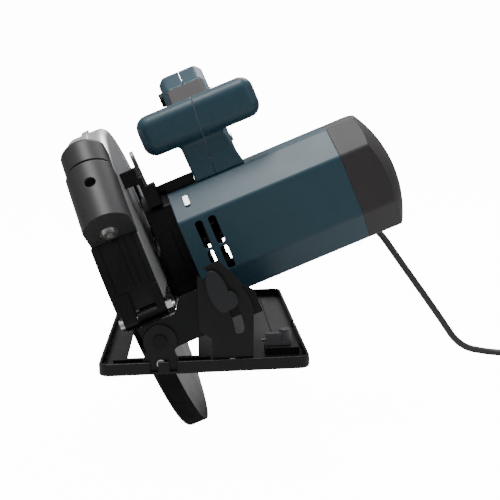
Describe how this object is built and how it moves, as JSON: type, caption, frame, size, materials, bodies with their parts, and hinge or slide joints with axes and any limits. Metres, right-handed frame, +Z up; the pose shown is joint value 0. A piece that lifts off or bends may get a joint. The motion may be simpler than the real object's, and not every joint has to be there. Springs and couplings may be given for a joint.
{
  "type": "circular saw",
  "caption": "Corded hand-held circular saw with tilting shoe, swinging lower blade guard, cast upper guard, side motor, loop handle and cross-bar front grip.",
  "frame": {"origin": "centre of the sole rectangle, on the sole", "axes": "+X from the blade side to the motor side, +Y to the rear handle, +Z up from the sole"},
  "size_m": [0.5175, 0.4202, 0.2997],
  "materials": {
    "shoe_black": "satin",
    "frame_black": "satin",
    "bright_steel": "satin",
    "guide_steel": "satin",
    "clamp_grey": "satin",
    "lever_grey": "satin",
    "guard_silver": "satin",
    "guard_black": "satin",
    "shell_black": "satin",
    "hood_grey": "satin",
    "teal_plastic": "satin",
    "cap_grey": "matte",
    "soft_grey": "matte",
    "switch_black": "matte",
    "core_steel": "satin",
    "winding_copper": "satin",
    "carbon": "matte",
    "fan_plastic": "matte",
    "gear_steel": "satin",
    "blade_steel": "satin",
    "cord_rubber": "matte"
  },
  "bodies": {
    "base": {"shoe": "shoe_black", "front_bracket": "shoe_black", "rear_bracket": "shoe_black", "bevel_quadrant": "shoe_black", "shoe_screws": "bright_steel", "guide_clamp_base": "shoe_black"},
    "fence_knob": {"guide_clamp_knob": "clamp_grey"},
    "tilt_frame": {"front_tilt_plate": "frame_black", "rear_tilt_plate": "frame_black", "pivot_rivets": "frame_black", "depth_hinge_pin": "bright_steel", "bevel_clamp_bolt": "bright_steel", "depth_guide": "guide_steel"},
    "bevel_clamp": {"bevel_lever": "lever_grey"},
    "head": {"upper_guard": "guard_silver", "guard_front_shell": "shell_black", "front_hood": "hood_grey", "hood_screws": "bright_steel", "gear_case": "frame_black", "spindle_bearings": "gear_steel", "motor_housing": "teal_plastic", "end_cap": "cap_grey", "housing_clip": "bright_steel", "field_core": "core_steel", "field_coils": "winding_copper", "brush_holders": "switch_black", "carbon_brushes": "carbon", "armature_bearings": "gear_steel", "guard_spring": "bright_steel", "depth_bolt": "bright_steel", "front_grip_left": "teal_plastic", "front_grip_right": "teal_plastic", "grip_bracket": "frame_black", "handle_overmould": "soft_grey", "handle_left": "teal_plastic", "handle_right": "teal_plastic", "case_screws": "bright_steel", "trigger_pin": "bright_steel", "trigger_switch": "switch_black", "strain_relief": "cord_rubber", "cord_run": "cord_rubber", "cord_coil": "cord_rubber", "mains_plug": "cord_rubber"},
    "lock_pin": {"spindle_lock": "lever_grey"},
    "armature": {"armature_shaft": "core_steel", "pinion_gear": "gear_steel", "armature_core": "core_steel", "armature_windings": "winding_copper", "commutator": "winding_copper", "cooling_fan": "fan_plastic"},
    "blade_drive": {"spindle": "bright_steel", "drive_gear": "gear_steel", "blade_flanges": "gear_steel", "blade": "blade_steel", "blade_bolt": "bright_steel"},
    "lower_guard_swing": {"lower_guard": "guard_black", "guard_lift_lever": "guard_black"},
    "depth_clamp": {"depth_lever": "lever_grey"},
    "trigger_body": {"trigger": "switch_black"},
    "lock_off": {"lock_off_button": "switch_black"}
  },
  "joints": [
    {"name": "bevel", "type": "hinge", "parent": "base", "child": "tilt_frame", "pos_m": [-0.031, 0, 0.023], "axis": [0, -1, 0], "range_deg": [-20.6, 24.4]},
    {"name": "bevel_clamp_turn", "type": "hinge", "parent": "tilt_frame", "child": "bevel_clamp", "pos_m": [0.01873, -0.154, 0.05184], "axis": [0, 1, 0], "range_deg": [0, 75]},
    {"name": "depth", "type": "hinge", "parent": "tilt_frame", "child": "head", "pos_m": [-0.03716, -0.1285, 0.03938], "axis": [0.9361, 0, 0.3518], "range_deg": [0, 18]},
    {"name": "depth_clamp_turn", "type": "hinge", "parent": "head", "child": "depth_clamp", "pos_m": [-0.02393, 0.13286, 0.06388], "axis": [0.9361, 0, 0.3518], "range_deg": [0, 60]},
    {"name": "blade_spin", "type": "hinge", "parent": "head", "child": "blade_drive", "pos_m": [-0.04015, 0.006, 0.04734], "axis": [0.9361, 0, 0.3518], "continuous": true},
    {"name": "armature_spin", "type": "hinge", "parent": "head", "child": "armature", "pos_m": [0.05768, -0.016, 0.09971], "axis": [0.9361, 0, 0.3518], "continuous": true},
    {"name": "lower_guard_turn", "type": "hinge", "parent": "head", "child": "lower_guard_swing", "pos_m": [-0.04015, 0.006, 0.04734], "axis": [0.9361, 0, 0.3518], "range_deg": [0, 130], "stiffness_Nm_per_rad": 0.35, "springref_deg": -45.84},
    {"name": "trigger_pull", "type": "hinge", "parent": "head", "child": "trigger_body", "pos_m": [-0.00509, 0.077, 0.19566], "axis": [0.9361, 0, 0.3518], "range_deg": [0, 7], "stiffness_Nm_per_rad": 0.4, "springref_deg": -5.73},
    {"name": "lock_off_press", "type": "slide", "parent": "head", "child": "lock_off", "axis": [0.9361, 0, 0.3518], "range_m": [0, 0.003], "stiffness_N_per_m": 800, "springref_m": -0.002},
    {"name": "spindle_lock_press", "type": "slide", "parent": "head", "child": "lock_pin", "axis": [0, -1, 0], "range_m": [0, 0.0022], "stiffness_N_per_m": 800, "springref_m": -0.002},
    {"name": "fence_knob_turn", "type": "hinge", "parent": "base", "child": "fence_knob", "pos_m": [0.0615, -0.103, 0.012], "axis": [0, 0, 1], "range_deg": [-90, 90]}
  ],
  "couplings": [
    {"joint": "armature_spin", "follows": "blade_spin", "ratio": -5}
  ]
}
